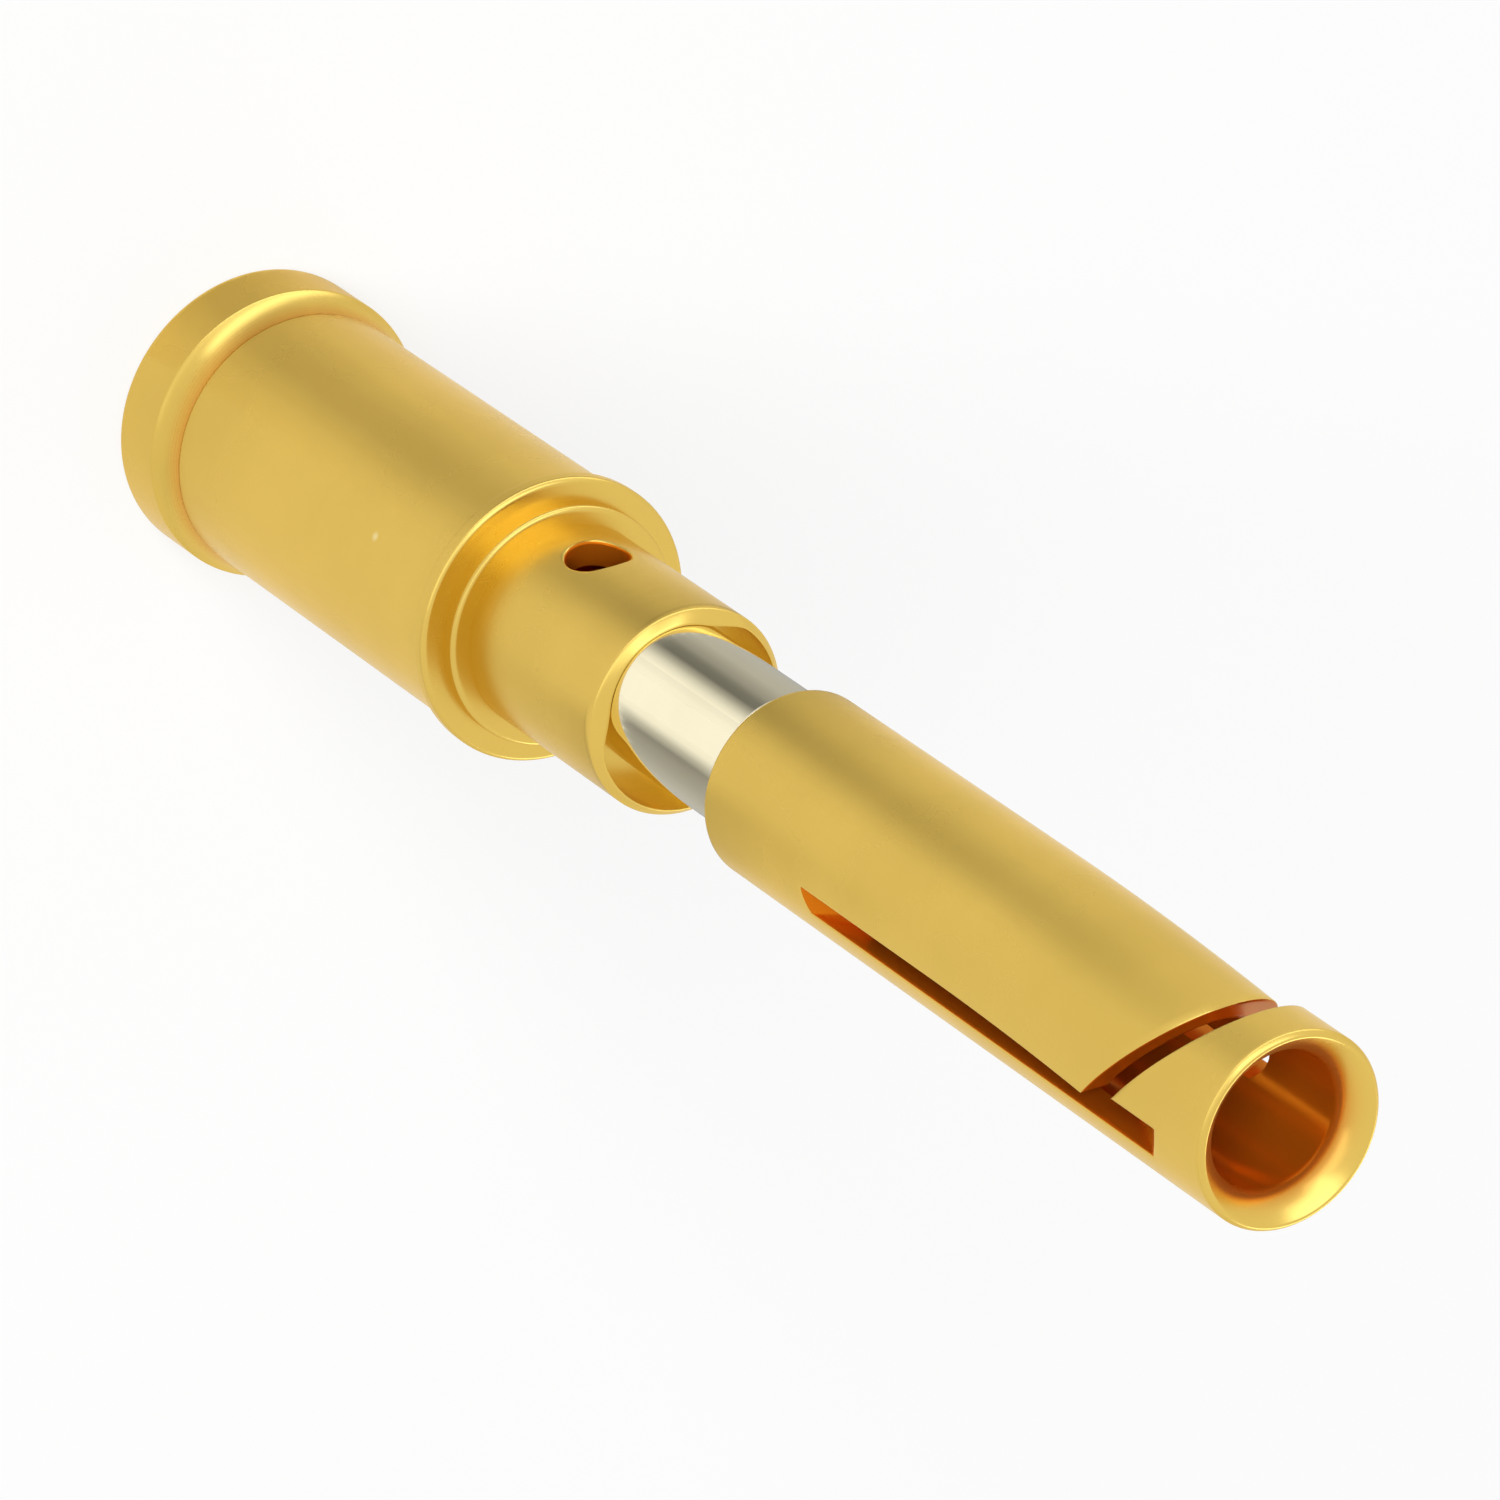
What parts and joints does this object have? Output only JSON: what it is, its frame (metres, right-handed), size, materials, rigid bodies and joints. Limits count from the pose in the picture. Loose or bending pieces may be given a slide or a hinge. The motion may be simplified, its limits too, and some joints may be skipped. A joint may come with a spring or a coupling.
{
  "type": "crimp socket contact",
  "caption": "Turned gold-plated crimp socket contact with a wire barrel, seating flange and neck, inspection hole, polished steel band and slotted socket whose tongue grips a round pin.",
  "frame": {"origin": "centre of the wire end's face, on the contact's axis", "axes": "+Z along the axis from the wire end to the socket's mouth, +X towards the contact tongue and the inspection hole"},
  "size_m": [0.0046, 0.0046, 0.0284],
  "materials": {
    "gold_plating": "satin gold plating on turned brass",
    "polished_steel": "polished stainless steel"
  },
  "bodies": {
    "root": {"contact_body": "gold_plating", "steel_band": "polished_steel"}
  },
  "joints": []
}
